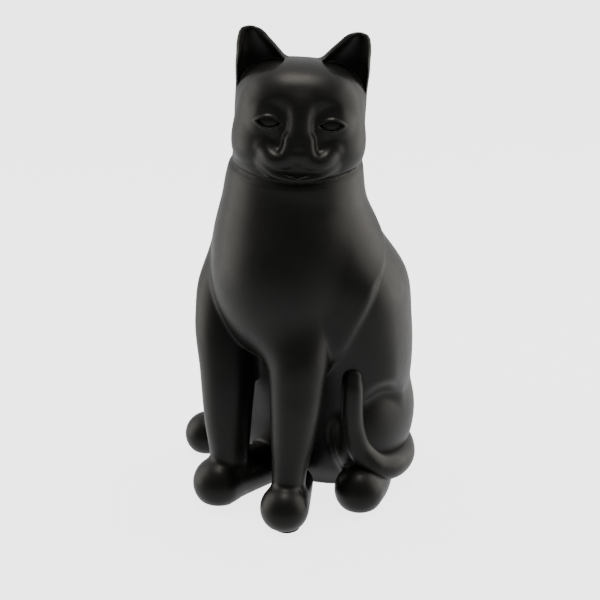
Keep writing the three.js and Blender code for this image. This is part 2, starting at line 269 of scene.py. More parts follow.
eyes = {
    "centre": (12.5, -16.6, 1.5),
    "ball": (7.4, 7.4, 6.4),
    "lid": 0.8,  # thickness of the lids over the ball
    "lidSoft": 2.6,
    "bow": 0.2,  # the almond's middle stands this much higher than its corners
    "half": (5.5, 2.5),  # almond opening, half width and half height
    "tilt": 4.0,  # outer corner up
    "rim": 0.55,  # fine rolled edge of the lids
    "socket": {"centre": (10.6, -30.0, 4.6), "radii": (9.0, 7.2, 8.8), "soft": 3.6},
    "hollow": {"centre": (9.2, -31.2, -5.2), "radii": (5.6, 6.4, 6.0), "soft": 2.4},
}
bridge = {
    "rows": [(-13, -29.0), (-8.5, -29.0), (-2.0, -28.2), (4.0, -27.0), (9.0, -25.4), (14.0, -22.4)],  # up, y
    "half": 4.0,
    "edge": 4.6,
    "low": -15.0,
    "high": 13,
    "endSoft": (2, 4),
    "behind": -12,
    "behindSoft": 1,
    "soft": 2.8,
}
muzzle = {
    "pad": {"centre": (6.4, -20.0, -13.4), "radii": (9.6, 8.5, 7.2), "soft": 2.6},
    "nose": {"centre": (0.0, -28.0, -9.8), "radii": (3.6, 2.2, 2.4), "soft": 2.2},
    "rim": [  # upper edge of the whisker pad, from the bridge out to the cheek
        (3.6, -26.2, -4.6, 1.9), (4.1, -27.0, -8.4, 2.3), (5.6, -27.3, -11.2, 2.5),
        (8.4, -26.9, -12.2, 2.6), (11.4, -25.2, -11.0, 2.5), (13.6, -22.8, -8.2, 2.2),
    ],
    "rimSoft": 3.2,
    "lip": [
        (15.6, -18.6, -9.6, 2.1), (14.0, -22.2, -14.0, 2.2), (9.9, -25.8, -17.4, 2.0),
        (4.9, -27.6, -19.1, 1.7), (0.0, -28.2, -19.7, 1.5), (-4.9, -27.6, -19.1, 1.7),
    ],
    "lipSoft": 1.7,
    "chin": {"centre": (0.0, -14.6, -16.0), "radii": (15.5, 11.5, 6.8), "soft": 3.0},
    "mouth": {"centre": (0.0, -30.2, -18.3), "radii": (1.5, 2.2, 0.6), "soft": 0.6},
}


# Points in the head's own frame: its middle at the origin, its face towards -Y.
def intoHead(p):
    return np.stack(local(p, head["centre"], turn=head["turn"], roll=-head["roll"]), 1)


# The outside of an ear, and the cup that is taken out of it.
def earForm(q, side):
    q = q * (side, 1, 1)
    rows = ears["rows"]
    outer = stack(q, rows)
    forward, deep = ears["cupDeep"]
    cup = stack(q, [(up, out, y - forward, half - ears["rim"], deep, back + forward - ears["backWall"])
                    for up, out, y, half, front, back in rows[:-1]])
    arch = ears["arch"]
    bow = np.sqrt(np.clip(1 - ((q[:, 0] - arch["out"]) / arch["half"]) ** 2, 0.001, 1))
    ledge = (arch["low"] + arch["high"] * bow - q[:, 2] + arch["back"] * q[:, 1]) * arch["steep"]
    return outer, softMax(cup, ledge, ears["ledgeSoft"])


# Both sides of the face at once: x is folded over the middle.
def faceForm(q):
    f = np.stack([np.sqrt(q[:, 0] ** 2 + 0.09), q[:, 1], q[:, 2]], 1)
    d = mass(f, (0, 0, 0), head["radii"], power=head["power"])
    jowls = head["jowls"]
    d = softMin(d, mass(f, jowls["centre"], jowls["radii"]), jowls["soft"])
    for lump in (muzzle["chin"], muzzle["pad"]):
        d = softMin(d, mass(f, lump["centre"], lump["radii"]), lump["soft"])
    for dip in (eyes["socket"], eyes["hollow"]):
        d = softMax(d, -mass(f, dip["centre"], dip["radii"]), dip["soft"])
    rows = np.array(bridge["rows"])
    face = np.interp(f[:, 2], rows[:, 0], rows[:, 1]) - f[:, 1]
    ridge = softMax(f[:, 0] - bridge["half"], face, bridge["edge"])
    ends = softMax(bridge["low"] - f[:, 2], f[:, 2] - bridge["high"], bridge["endSoft"][0])
    ridge = softMax(ridge, ends, bridge["endSoft"][1])
    d = softMin(d, softMax(ridge, f[:, 1] - bridge["behind"], bridge["behindSoft"]), bridge["soft"])
    d = softMin(d, limb(f, muzzle["rim"]), muzzle["rimSoft"])
    d = softMin(d, limb(f, muzzle["lip"]), muzzle["lipSoft"])
    nose = muzzle["nose"]
    d = softMin(d, mass(f, nose["centre"], nose["radii"]), nose["soft"])
    mouth = muzzle["mouth"]
    d = softMax(d, -mass(f, mouth["centre"], mouth["radii"]), mouth["soft"])
    return withEyes(f, d)


# A lid over each ball, opened along an almond with a fine rolled edge.
def withEyes(f, d):
    x, y, z = local(f, eyes["centre"], roll=eyes["tilt"])
    wide, high = eyes["half"]
    lid = mass(f, eyes["centre"], [r + eyes["lid"] for r in eyes["ball"]])
    d = softMin(d, lid, eyes["lidSoft"])
    u = np.clip(x / wide, -1.3, 1.3)
    almond = np.abs(z - eyes["bow"] * (1 - u * u)) - high * (1 - u * u)
    almond = almond / np.sqrt(1 + (2 * high * u / wide) ** 2)
    d = softMax(d, -softMax(almond, y + 1, 0.3), 0.4)
    d = softMin(d, np.where(y < -2, np.hypot(almond, lid) - eyes["rim"], 5), 0.5)
    return softMin(d, mass(f, eyes["centre"], eyes["ball"]), 0.2)


def headForm(p):
    q = intoHead(p)
    near = np.all(np.abs(q) < (42, 42, 48), axis=1)
    d = np.linalg.norm(q, axis=1) - 30
    inner = q[near]
    h = faceForm(inner)
    for side in (-1, 1):
        ear, cup = earForm(inner, side)
        h = softMin(h, ear, ears["soft"])
        h = softMax(h, -cup, ears["cupSoft"])
    d[near] = h
    return d


# The neck seam tips up from under the chin to the nape; a fine crease follows it.
neck = {"middle": (4.0, 16.0, 158.0), "tip": 11.0, "crease": 1.1, "creaseWidth": 1.3,
        "nape": (12.0, 36.0), "napeShare": 0.75}  # this share of the crease dies away over that span of y
tipped, turned = math.radians(neck["tip"]), math.radians(head["turn"])
neckWay = (math.sin(turned) * math.sin(tipped), -math.cos(turned) * math.sin(tipped), math.cos(tipped))


def catForm(p):
    d = softMin(bodyForm(p), headForm(p), head["neckSoft"])
    away = (p - neck["middle"]) @ np.array(neckWay)
    deep = neck["crease"] * (1 - neck["napeShare"] * fade(p[:, 1], *neck["nape"]))
    return d + deep * np.exp(-(away / neck["creaseWidth"]) ** 2)


def footedForm(p):
    return softMax(catForm(p), baseZ - p[:, 2], trunk["footRound"])


tail = {
    "stops": [  # from the root behind the body to the tip on its left flank
        (10, 76, 11.5, 6.4), (28, 64, 13, 6.6), (40, 48, 14.5, 6.7), (43.6, 33, 16, 6.6),
        (41, 22, 20, 6.2), (36.4, 16.4, 29, 5.6), (34.8, 13.2, 40, 5.1), (35.2, 11, 51, 4.9),
        (35.6, 10.4, 60, 4.7), (35, 11.5, 66.5, 4.4),
    ],
    "steps": 10,
    "footRound": 1.0,
}


def tailForm(p):
    return softMax(limb(p, tail["stops"], tail["steps"]), baseZ - p[:, 2], tail["footRound"])


# The gradient of a form, from a short step each way.
def slope(form, p):
    h = 0.04
    return np.stack([form(p + step) - form(p - step) for step in np.eye(3) * h], 1) / (2 * h)


# Moves points near the surface onto it; those that close the sampled box stay where they are.
def settle(form, p, reach, passes=3):
    close = np.abs(form(p)) < reach
    q = p[close]
    for _ in range(passes):
        g = slope(form, q)
        q = q - g * (form(q) / np.maximum((g * g).sum(1), 0.05))[:, None]
    kept = np.linalg.norm(q - p[close], axis=1) < reach
    p[np.flatnonzero(close)[kept]] = q[kept]
    return p


# Samples the form near its surface only, then draws the surface through the samples and settles it.
def skinOf(name, form, low, high, voxel, block=4):
    low = np.array(low, float)
    counts = np.ceil((np.array(high) - low) / (voxel * block)).astype(int)
    centres = np.stack(np.meshgrid(*[(np.arange(n) + 0.5) * block * voxel - voxel / 2 for n in counts],
                                   indexing="ij"), -1).reshape(-1, 3) + low
    rough = form(centres).reshape(counts)
    near = np.abs(rough) < block * voxel * 2.2
    inside = np.stack(np.meshgrid(*[np.arange(block)] * 3, indexing="ij"), -1).reshape(-1, 3)
    corners = np.argwhere(near) * block
    cells = (corners[:, None, :] + inside[None]).reshape(-1, 3)
    field = np.kron(rough, np.ones((block,) * 3))
    parts = np.array_split(cells, 1 + len(cells) // 200000)  # a share at a time, to save memory
    values = np.concatenate([form(part * voxel + low) for part in parts])
    field[tuple(cells.T)] = values
    grid = openvdb.FloatGrid()
    grid.copyFromArray((field / voxel).astype(np.float32))
    points, tris, quads = grid.convertToPolygons(0, 0)
    points = settle(form, np.asarray(points, float) * voxel + low, voxel)
    faces = [tuple(map(int, face)) for face in [*quads, *tris]]
    return meshOf(name, points, faces)


def meshOf(name, points, faces):
    mesh = bpy.data.meshes.new(name)
    mesh.from_pydata(((points + shift) * mm).tolist(), [], faces)
    work = bmesh.new()
    work.from_mesh(mesh)
    bmesh.ops.remove_doubles(work, verts=work.verts, dist=1e-7)
    bmesh.ops.recalc_face_normals(work, faces=work.faces)
    work.to_mesh(mesh)
    work.free()
    obj = bpy.data.objects.new(name, mesh)
    bpy.context.scene.collection.objects.link(obj)
    return obj


# A copy with a mesh of its own.
def copyOf(obj, name):
    twin = obj.copy()
    twin.data = obj.data.copy()
    twin.name = twin.data.name = name
    bpy.context.scene.collection.objects.link(twin)
    return twin


def drop(*objs):
    for obj in objs:
        bpy.data.objects.remove(obj)


# A cube of one metre put in place by a matrix.
def cubeOf(place):
    mesh = bpy.data.meshes.new("cutter")
    work = bmesh.new()
    bmesh.ops.create_cube(work, size=1, matrix=place)
    work.to_mesh(mesh)
    work.free()
    obj = bpy.data.objects.new("cutter", mesh)
    bpy.context.scene.collection.objects.link(obj)
    return obj


# A block between two corners, in the cat's frame.
def blockOf(low, high):
    low, high = np.array(low, float), np.array(high, float)
    return cubeOf(Matrix.Translation(Vector(((low + high) / 2 + shift) * mm))
                  @ Matrix.Diagonal((*((high - low) * mm), 1)))


# Takes the cutter from a piece, or keeps only what it holds.
def cut(obj, cutter, operation="DIFFERENCE"):
    modifier = obj.modifiers.new("cut", "BOOLEAN")
    modifier.operation = operation
    modifier.solver = "MANIFOLD"
    modifier.object = cutter
    bake(obj)


# The evaluated mesh in place of the modifiers.
def bake(obj):
    bpy.context.view_layer.update()
    evaluated = obj.evaluated_get(bpy.context.evaluated_depsgraph_get())
    mesh = bpy.data.meshes.new_from_object(evaluated)
    old = obj.data
    obj.modifiers.clear()
    obj.data = mesh
    bpy.data.meshes.remove(old)


# Shades a piece from its form: a face on the skin takes the form's own slope, so a seam between two
# pieces doesn't show. The cut faces inside stay flat.
def shadeFrom(obj, form, sharp=0.35, skinDeep=0.08):
    mesh = obj.data
    points = np.empty(len(mesh.vertices) * 3)
    mesh.vertices.foreach_get("co", points)
    points = points.reshape(-1, 3) / mm - shift
    g = slope(form, points)
    g /= np.linalg.norm(g, axis=1)[:, None] + 1e-12
    onSkin = np.abs(form(points)) < skinDeep
    corners = np.empty(len(mesh.loops), int)
    mesh.loops.foreach_get("vertex_index", corners)
    faceNormals = np.empty(len(mesh.polygons) * 3)
    mesh.polygons.foreach_get("normal", faceNormals)
    faceNormals = faceNormals.reshape(-1, 3)
    starts = np.empty(len(mesh.polygons), int)
    mesh.polygons.foreach_get("loop_start", starts)
    faceOf = np.repeat(np.arange(len(starts)), np.diff(np.append(starts, len(corners))))
    own = faceNormals[faceOf]
    wanted = g[corners]
    agree = (wanted * own).sum(1) > sharp
    skin = np.bitwise_and.reduceat(onSkin[corners] & agree, starts)
    normals = np.where(skin[faceOf][:, None], wanted, own)
    mesh.polygons.foreach_set("use_smooth", np.ones(len(starts), bool))
    mesh.normals_split_custom_set(normals.tolist())


# An sRGB hex colour as linear values.
def linear(hexColour):
    parts = [int(hexColour[i:i + 2], 16) / 255 for i in (0, 2, 4)]
    return (*[c / 12.92 if c <= 0.04045 else ((c + 0.055) / 1.055) ** 2.4 for c in parts], 1.0)


# Adds a node: lower-case keys are its own settings, the others its inputs.
def add(tree, kind, settings=None, **links):
    node = tree.nodes.new(kind)
    for key, value in (settings or {}).items():
        if key[0].islower():
            setattr(node, key, value)
        else:
            node.inputs[key].default_value = value
    for key, source in links.items():
        tree.links.new(source, node.inputs[key.replace("_", " ")])
    return node


def newMaterial(name, settings):
    material = bpy.data.materials.new(name)
    material.use_nodes = True
    tree = material.node_tree
    shader = tree.nodes["Principled BSDF"]
    for key, value in settings.items():
        shader.inputs[key].default_value = value
    place = add(tree, "ShaderNodeTexCoord").outputs["Object"]
    return material, tree, shader, place


# Fractal noise on the object's own millimetres: the size is that of one lump.
def grain(tree, place, size, detail=3.0, roughness=0.5):
    settings = {"Scale": 1 / (size * mm), "Detail": detail, "Roughness": roughness}
    return add(tree, "ShaderNodeTexNoise", settings, Vector=place).outputs["Fac"]


def spread(tree, value, low, high, start=0.3, stop=0.7):
    settings = {"From Min": start, "From Max": stop, "To Min": low, "To Max": high}
    return add(tree, "ShaderNodeMapRange", settings, Value=value).outputs["Result"]


# One colour passing into another over the middle of a pattern.
def blendOf(tree, value, first, second):
    ramp = add(tree, "ShaderNodeValToRGB", Fac=value)
    ramp.color_ramp.elements[0].color, ramp.color_ramp.elements[1].color = linear(first), linear(second)
    ramp.color_ramp.elements[0].position, ramp.color_ramp.elements[1].position = 0.35, 0.65
    return ramp.outputs["Color"]


def bump(tree, height, distance, **links):
    settings = {"Distance": distance * mm, "Strength": 1.0}
    return add(tree, "ShaderNodeBump", settings, Height=height, **links).outputs["Normal"]


# Satin black glaze, dipped and fired on slip-cast ceramic: a deep warm black with a wide soft
# sheen. The sheen is a little uneven where the glaze ran thin, a faint orange peel breaks its
# edge, and a few pinholes stand where gas left the body. Sizes and heights in millimetres.
glazeLook = {
    "thin": "1B1B17",
    "thick": "121311",
    "drift": 22.0,
    "cloud": 4.5,
    "roughness": (0.36, 0.43),
    "peel": 2.6,
    "peelHeight": 0.012,
    "pit": 5.0,
    "pitEdge": (0.015, 0.05),
    "pitHeight": 0.05,
}


def makeGlaze():
    material, tree, shader, place = newMaterial("satinBlackGlaze", {"IOR": 1.5, "Specular IOR Level": 0.5})
    drift = grain(tree, place, glazeLook["drift"], 2.0)
    tree.links.new(blendOf(tree, drift, glazeLook["thick"], glazeLook["thin"]), shader.inputs["Base Color"])
    cloud = grain(tree, place, glazeLook["cloud"], 4.0, 0.65)
    tree.links.new(spread(tree, cloud, *glazeLook["roughness"]), shader.inputs["Roughness"])
    peel = bump(tree, grain(tree, place, glazeLook["peel"], 1.5), glazeLook["peelHeight"])
    spacing = {"Scale": 1 / (glazeLook["pit"] * mm), "Randomness": 1.0}
    pits = add(tree, "ShaderNodeTexVoronoi", spacing, Vector=place)
    pinhole = spread(tree, pits.outputs["Distance"], 0.0, 1.0, *glazeLook["pitEdge"])
    tree.links.new(bump(tree, pinhole, glazeLook["pitHeight"], Normal=peel), shader.inputs["Normal"])
    return material


# Fired stoneware body, wiped clean of glaze: dry, dark and sandy. The grog is as coarse as it
# comes, so that it shows.
clayLook = {"dark": "2A2622", "pale": "3D3832", "grog": 0.6, "grogHeight": 0.08, "grogShare": 0.4,
            "wipe": 7.0, "roughness": (0.82, 0.95)}


def makeClay():
    material, tree, shader, place = newMaterial("rawStoneware", {"IOR": 1.45})
    sand = grain(tree, place, clayLook["grog"], 4.0, 0.6)
    wiped = grain(tree, place, clayLook["wipe"], 3.0)
    mixed = {"data_type": "FLOAT", "Factor": clayLook["grogShare"]}
    tone = add(tree, "ShaderNodeMix", mixed, A=wiped, B=sand).outputs["Result"]
    tree.links.new(blendOf(tree, tone, clayLook["dark"], clayLook["pale"]), shader.inputs["Base Color"])
    tree.links.new(spread(tree, wiped, *clayLook["roughness"]), shader.inputs["Roughness"])
    tree.links.new(bump(tree, sand, clayLook["grogHeight"]), shader.inputs["Normal"])
    return material


# Moulded soft rubber: dark grey with a dry spark-eroded skin and a little bloom. The skin's
# grain is drawn some ten times coarser than the real one, so that it shows.
rubberLook = {"dark": "18181A", "bloom": "26262A", "cloud": 5.0, "skin": 0.45, "skinHeight": 0.02,
              "roughness": (0.5, 0.66)}


def makeRubber():
    material, tree, shader, place = newMaterial("mouldedRubber", {"IOR": 1.52})
    cloud = grain(tree, place, rubberLook["cloud"], 4.0, 0.6)
    tone = blendOf(tree, cloud, rubberLook["dark"], rubberLook["bloom"])
    tree.links.new(tone, shader.inputs["Base Color"])
    tree.links.new(spread(tree, cloud, *rubberLook["roughness"]), shader.inputs["Roughness"])
    skin = grain(tree, place, rubberLook["skin"], 2.0)
    tree.links.new(bump(tree, skin, rubberLook["skinHeight"]), shader.inputs["Normal"])
    return material


# Pressed wool felt: matted charcoal fibres with a soft pale edge. Single fibres are far finer
# than the pattern, which shows tufts of them.
feltLook = {"dark": "232325", "pale": "3C3C40", "fibre": 0.5, "drawnOut": 0.35, "lay": 0.6,
            "height": 0.12, "lump": 2.5}


def makeFelt():
    material, tree, shader, place = newMaterial("pressedWoolFelt", {
        "Roughness": 0.95, "Sheen Weight": 0.4, "Sheen Roughness": 0.6, "IOR": 1.4})
    tufts = {"Scale": (1.0, feltLook["drawnOut"], 1.0), "Rotation": (0, 0, feltLook["lay"])}
    stretched = add(tree, "ShaderNodeMapping", tufts, Vector=place)
    fibre = grain(tree, stretched.outputs["Vector"], feltLook["fibre"], 5.0, 0.7)
    tree.links.new(blendOf(tree, fibre, feltLook["dark"], feltLook["pale"]), shader.inputs["Base Color"])
    matted = bump(tree, grain(tree, place, feltLook["lump"], 3.0), feltLook["height"])
    tree.links.new(bump(tree, fibre, feltLook["height"], Normal=matted), shader.inputs["Normal"])
    return material


glaze, clay, rubber, felt = makeGlaze(), makeClay(), makeRubber(), makeFelt()
print("stage: materials")


# A block on one side of a plane.
def beyond(point, normal, span=160.0):
    normal = Vector(normal).normalized()
    place = (Matrix.Translation((Vector(point) + Vector(shift)) * mm)
             @ Vector((0, 0, 1)).rotation_difference(normal).to_matrix().to_4x4()
             @ Matrix.Translation((0, 0, span / 2 * mm)) @ Matrix.Diagonal((*[span * mm] * 3, 1)))
    return cubeOf(place)


# Parts a skin in two: what the cutter holds goes to a new piece, the rest stays.
def takeOff(skin, cutter, name):
    part = copyOf(skin, name)
    cut(part, cutter, "INTERSECT")
    cut(skin, cutter)
    drop(cutter)
    return part


# Gives a finished piece its material, its shading and its place in the frame.
def dress(obj, form, material, slot, *nodes):
    obj.data.materials.clear()
    obj.data.materials.append(material)
    shadeFrom(obj, form)
    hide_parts(*nodes)
    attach(obj, "stopper" if nodes[0] == "stopper" else "figure")
    print("stage:", obj.name, len(obj.data.polygons))


# sampling step of each skin in millimetres, fine and quick
voxels = {
    "body": (0.95, 1.6),
    "head": (0.42, 0.7),
    "tail": (0.6, 1.0),
    "hollow": (2.0, 3.0),
    "plate": (0.7, 1.2),
    "stopper": (0.4, 0.7),
}
voxels = {name: steps[0] for name, steps in voxels.items()}
rooms = {  # the box that each skin is sampled in
    "body": ((-72, -38, -3), (62, 92, 172)),
    "head": ((-36, -26, 138), (44, 58, 214)),
    "hollow": ((-56, 0, -8), (52, 88, 200)),
    "tail": ((0, 0, 0), (62, 90, 78)),
}
legTop, legBack, legMiddle = 64.0, 2.0, 1.3  # where the forelegs part from the body and from each other
luted = {  # the blocks that the legs and the hind paws are parted along
    "leftForeleg": ((legMiddle, -60, -5), (60, legBack, legTop)),
    "rightForeleg": ((-60, -60, -5), (legMiddle, legBack, legTop)),
    "leftHindPaw": ((24.5, legBack, -5), (60, 19.5, 23)),
    "rightHindPaw": ((-80, legBack, -5), (-41, 26, 23)),
}
earSeam = {"root": (16.0, 0.0, 17.5), "way": (0.64, 0.0, 0.77), "span": 60.0}
hollowShape = {"thinning": 0.6, "headBack": 1.5, "dipSoft": 3, "neckSoft": 6}


# The room inside the casting, one wall in from the skin.
def hollowForm(p):
    inner = [r - trunk["wall"] - hollowShape["thinning"] for r in head["radii"]]
    dip = -mass(p, flankDip["centre"], flankDip["radii"])
    room = softMax(stack(p, trunk["rows"]), dip, hollowShape["dipSoft"]) + trunk["wall"]
    skull = mass(intoHead(p), (0, hollowShape["headBack"], 0), inner)
    return softMin(room, skull, hollowShape["neckSoft"])


# Turns a direction or a place in the head back into the cat's frame.
def fromHead(point):
    x, y, z = point
    x, z = spin(x, z, head["roll"])
    y, x = spin(y, x, head["turn"])
    return np.array([x, y, z])


bodyCasting = skinOf("bodyCasting", footedForm, *rooms["body"], voxels["body"])
headCasting = skinOf("headCasting", footedForm, *rooms["head"], voxels["head"])
hollow = skinOf("hollow", hollowForm, *rooms["hollow"], voxels["hollow"])
print("stage: skins")
above = beyond(neck["middle"], neckWay)
cut(bodyCasting, above)
cut(headCasting, above, "INTERSECT")
drop(above)
pieces = {name: takeOff(bodyCasting, blockOf(*corners), name) for name, corners in luted.items()}
for side, name in ((1, "leftEar"), (-1, "rightEar")):
    root, way = (fromHead((side * earSeam[key][0], *earSeam[key][1:])) for key in ("root", "way"))
    pieces[name] = takeOff(headCasting, beyond(root + head["centre"], way, earSeam["span"]), name)
cut(bodyCasting, hollow)
cut(headCasting, hollow)
drop(hollow)
dress(bodyCasting, footedForm, glaze, "black_glaze", "body_casting")
dress(headCasting, footedForm, glaze, "black_glaze", "head_casting")
dress(pieces["leftForeleg"], footedForm, glaze, "black_glaze", "left_foreleg")
dress(pieces["rightForeleg"], footedForm, glaze, "black_glaze", "right_foreleg")
dress(pieces["leftHindPaw"], footedForm, glaze, "black_glaze", "left_hind_paw")
dress(pieces["rightHindPaw"], footedForm, glaze, "black_glaze", "right_hind_paw")
dress(pieces["leftEar"], footedForm, glaze, "black_glaze", "left_ear")
dress(pieces["rightEar"], footedForm, glaze, "black_glaze", "right_ear")
tailCasting = skinOf("tailCasting", tailForm, *rooms["tail"], voxels["tail"])
dress(tailCasting, tailForm, glaze, "black_glaze", "tail")

# the floor that closes the body, and the plug in its hole
plate = {
    "thickness": float(plateHigh[2] - plateLow[2]),
    "gap": 0.3,
    "hole": 12.5,
    "seat": 15.5,
    "seatDepth": 2.6,
    "seatSoft": 0.2,
    "edge": 0.5,
}
stopper = {
    "low": float(stopperLow[2]),
    "high": float(stopperHigh[2]),
    "plug": 12.2,
    "trim": 0.1,  # the plug's skin under its sealing rings
    "flange": 15.2,
    "flangeMiddle": 1,
    "flangeThickness": 2.0,
    "wall": 3.0,
    "rings": (5.0, 7.5, 10.0),
    "ringOut": 0.22,
    "ringHalf": 0.45,
    "taperFrom": 0.75,  # share of the height where the plug begins to narrow
    "taper": 0.45,
    "tab": 2.5,
    "tabLow": 0.5,
    "tabInset": (1.5, 1),  # short of the plug's wall, and of its top
    "tabSoft": (1.2, 0.2, 0.8),
    "edge": 0.5,
}


# Distance from the middle of the hole.
def fromHole(p):
    return np.hypot(p[:, 0] - holePlace[0], p[:, 1] - holePlace[1])


def plateForm(p):
    half = plate["thickness"] / 2
    d = stack(p, trunk["rows"]) + trunk["wall"] + plate["gap"]
    d = softMax(d, np.abs(p[:, 2] - baseZ - half) - half, plate["edge"])
    r = fromHole(p)
    d = softMax(d, plate["hole"] - r, plate["edge"])
    seat = softMax(r - plate["seat"], p[:, 2] - baseZ - plate["seatDepth"], plate["seatSoft"])
    return softMax(d, -seat, plate["edge"])


def stopperForm(p):
    r, up, edge = fromHole(p), p[:, 2] - stopper["low"], stopper["edge"]
    length = stopper["high"] - stopper["low"]
    thick = np.abs(up - stopper["flangeMiddle"]) - stopper["flangeThickness"] / 2
    flange = softMax(r - stopper["flange"], thick, edge)
    taper = np.clip((up - stopper["taperFrom"] * length) * stopper["taper"], 0, None)
    rings = sum(np.exp(-((up - ring) / stopper["ringHalf"]) ** 2) for ring in stopper["rings"])
    outside = r - stopper["plug"] + stopper["trim"] + taper - rings * stopper["ringOut"]
    plug = softMax(outside, np.abs(up - length / 2) - length / 2, edge * 2)
    hollow = softMax(r - stopper["plug"] + stopper["wall"], up - length + stopper["wall"], edge * 2)
    d = softMax(softMin(flange, plug, 0.3), -hollow, edge)
    y = np.abs(p[:, 1] - holePlace[1]) - stopper["tab"] / 2
    (inset, below), (endSoft, rimSoft, rootSoft) = stopper["tabInset"], stopper["tabSoft"]
    tabRound = softMax(r - stopper["plug"] + inset, up - length + below, rimSoft)
    tab = softMax(softMax(y, stopper["tabLow"] - up, endSoft), tabRound, rimSoft)
    return softMin(d, tab, rootSoft)


plateRoom = (plateLow - shift - 2, plateHigh - shift + 2)
basePlate = skinOf("basePlate", plateForm, *plateRoom, voxels["plate"])
dress(basePlate, plateForm, clay, "raw_clay", "base_plate")
stopperRoom = (stopperLow - shift - 1.5, stopperHigh - shift + 1.5)
stopperPlug = skinOf("stopperPlug", stopperForm, *stopperRoom, voxels["stopper"])
dress(stopperPlug, stopperForm, rubber, "stopper_rubber", "stopper")

# Felt pads with a fuzz of loose fibres round their sides. A fibre is drawn about twice as thick
# as wool, so that it shows.
pads = {
    "edge": 0.25,
    "sides": 48,
    "fibresPerMm": 9.0,  # on a square millimetre
    "fibre": 0.45,
    "thick": 0.05,
    "lay": ((-1, -1, 0.05), (1, 1, 0.4)),  # a fibre's direction lies between these two
    "sag": (0.00012, 0, 0),  # metres that its middle hangs out
    "upright": 0.8,  # a face whose normal is steeper than this bears none
    "seed": 7,
}


# The tree for the fuzz: short bent fibres on the pad's sides, joined to the pad.
def makeFuzz():
    tree = bpy.data.node_groups.new("feltFuzz", "GeometryNodeTree")
    sockets = {}
    wanted = (("Geometry", "NodeSocketGeometry", None), ("Density", "NodeSocketFloat", 1.0),
              ("Fibre Length", "NodeSocketFloat", 0.0005), ("Fibre Radius", "NodeSocketFloat", 0.00002),
              ("Seed", "NodeSocketInt", 0), ("Material", "NodeSocketMaterial", None))
    for name, kind, value in wanted:
        socket = tree.interface.new_socket(name, in_out="INPUT", socket_type=kind)
        if value is not None:
            socket.default_value = value
        sockets[name] = socket.identifier
    tree.interface.new_socket("Geometry", in_out="OUTPUT", socket_type="NodeSocketGeometry")
    given = add(tree, "NodeGroupInput").outputs
    normal = add(tree, "GeometryNodeInputNormal").outputs[0]
    lean = add(tree, "ShaderNodeSeparateXYZ", Vector=normal).outputs["Z"]
    level = add(tree, "ShaderNodeMath", {"operation": "ABSOLUTE"})
    tree.links.new(lean, level.inputs[0])
    side = add(tree, "FunctionNodeCompare", {"data_type": "FLOAT", "operation": "LESS_THAN"})
    tree.links.new(level.outputs[0], side.inputs[0])
    side.inputs[1].default_value = pads["upright"]
    spots = add(tree, "GeometryNodeDistributePointsOnFaces", Mesh=given["Geometry"],
                Density=given["Density"], Seed=given["Seed"], Selection=side.outputs[0])
    way = add(tree, "FunctionNodeRandomValue", {"data_type": "FLOAT_VECTOR"}, Seed=given["Seed"])
    way.inputs[0].default_value, way.inputs[1].default_value = pads["lay"]
    lie = add(tree, "FunctionNodeAlignEulerToVector", {"axis": "Z"})
    tree.links.new(way.outputs[0], lie.inputs["Vector"])
    end = add(tree, "ShaderNodeCombineXYZ", Z=given["Fibre Length"]).outputs[0]
    sag = add(tree, "ShaderNodeVectorMath", {"operation": "MULTIPLY"})
    tree.links.new(end, sag.inputs[0])
    tree.links.new(add(tree, "ShaderNodeCombineXYZ", {"Z": 0.5}).outputs[0], sag.inputs[1])
    bow = add(tree, "ShaderNodeVectorMath", {"operation": "ADD"})
    tree.links.new(sag.outputs[0], bow.inputs[0])
    bow.inputs[1].default_value = pads["sag"]
    strand = add(tree, "GeometryNodeCurveQuadraticBezier", {"Resolution": 4, "Start": (0, 0, 0)},
                 Middle=bow.outputs[0], End=end)
    section = add(tree, "GeometryNodeCurvePrimitiveCircle", {"Resolution": 3}, Radius=given["Fibre Radius"])
    fibre = add(tree, "GeometryNodeCurveToMesh", {"Fill Caps": True}, Curve=strand.outputs[0],
                Profile_Curve=section.outputs[0])
    put = add(tree, "GeometryNodeInstanceOnPoints", Points=spots.outputs["Points"],
              Instance=fibre.outputs[0], Rotation=lie.outputs[0])
    both = add(tree, "GeometryNodeJoinGeometry")
    tree.links.new(put.outputs[0], both.inputs[0])
    tree.links.new(given["Geometry"], both.inputs[0])
    real = add(tree, "GeometryNodeRealizeInstances", Geometry=both.outputs[0])
    painted = add(tree, "GeometryNodeSetMaterial", Geometry=real.outputs[0], Material=given["Material"])
    tree.links.new(painted.outputs[0], add(tree, "NodeGroupOutput").inputs[0])
    return tree, sockets


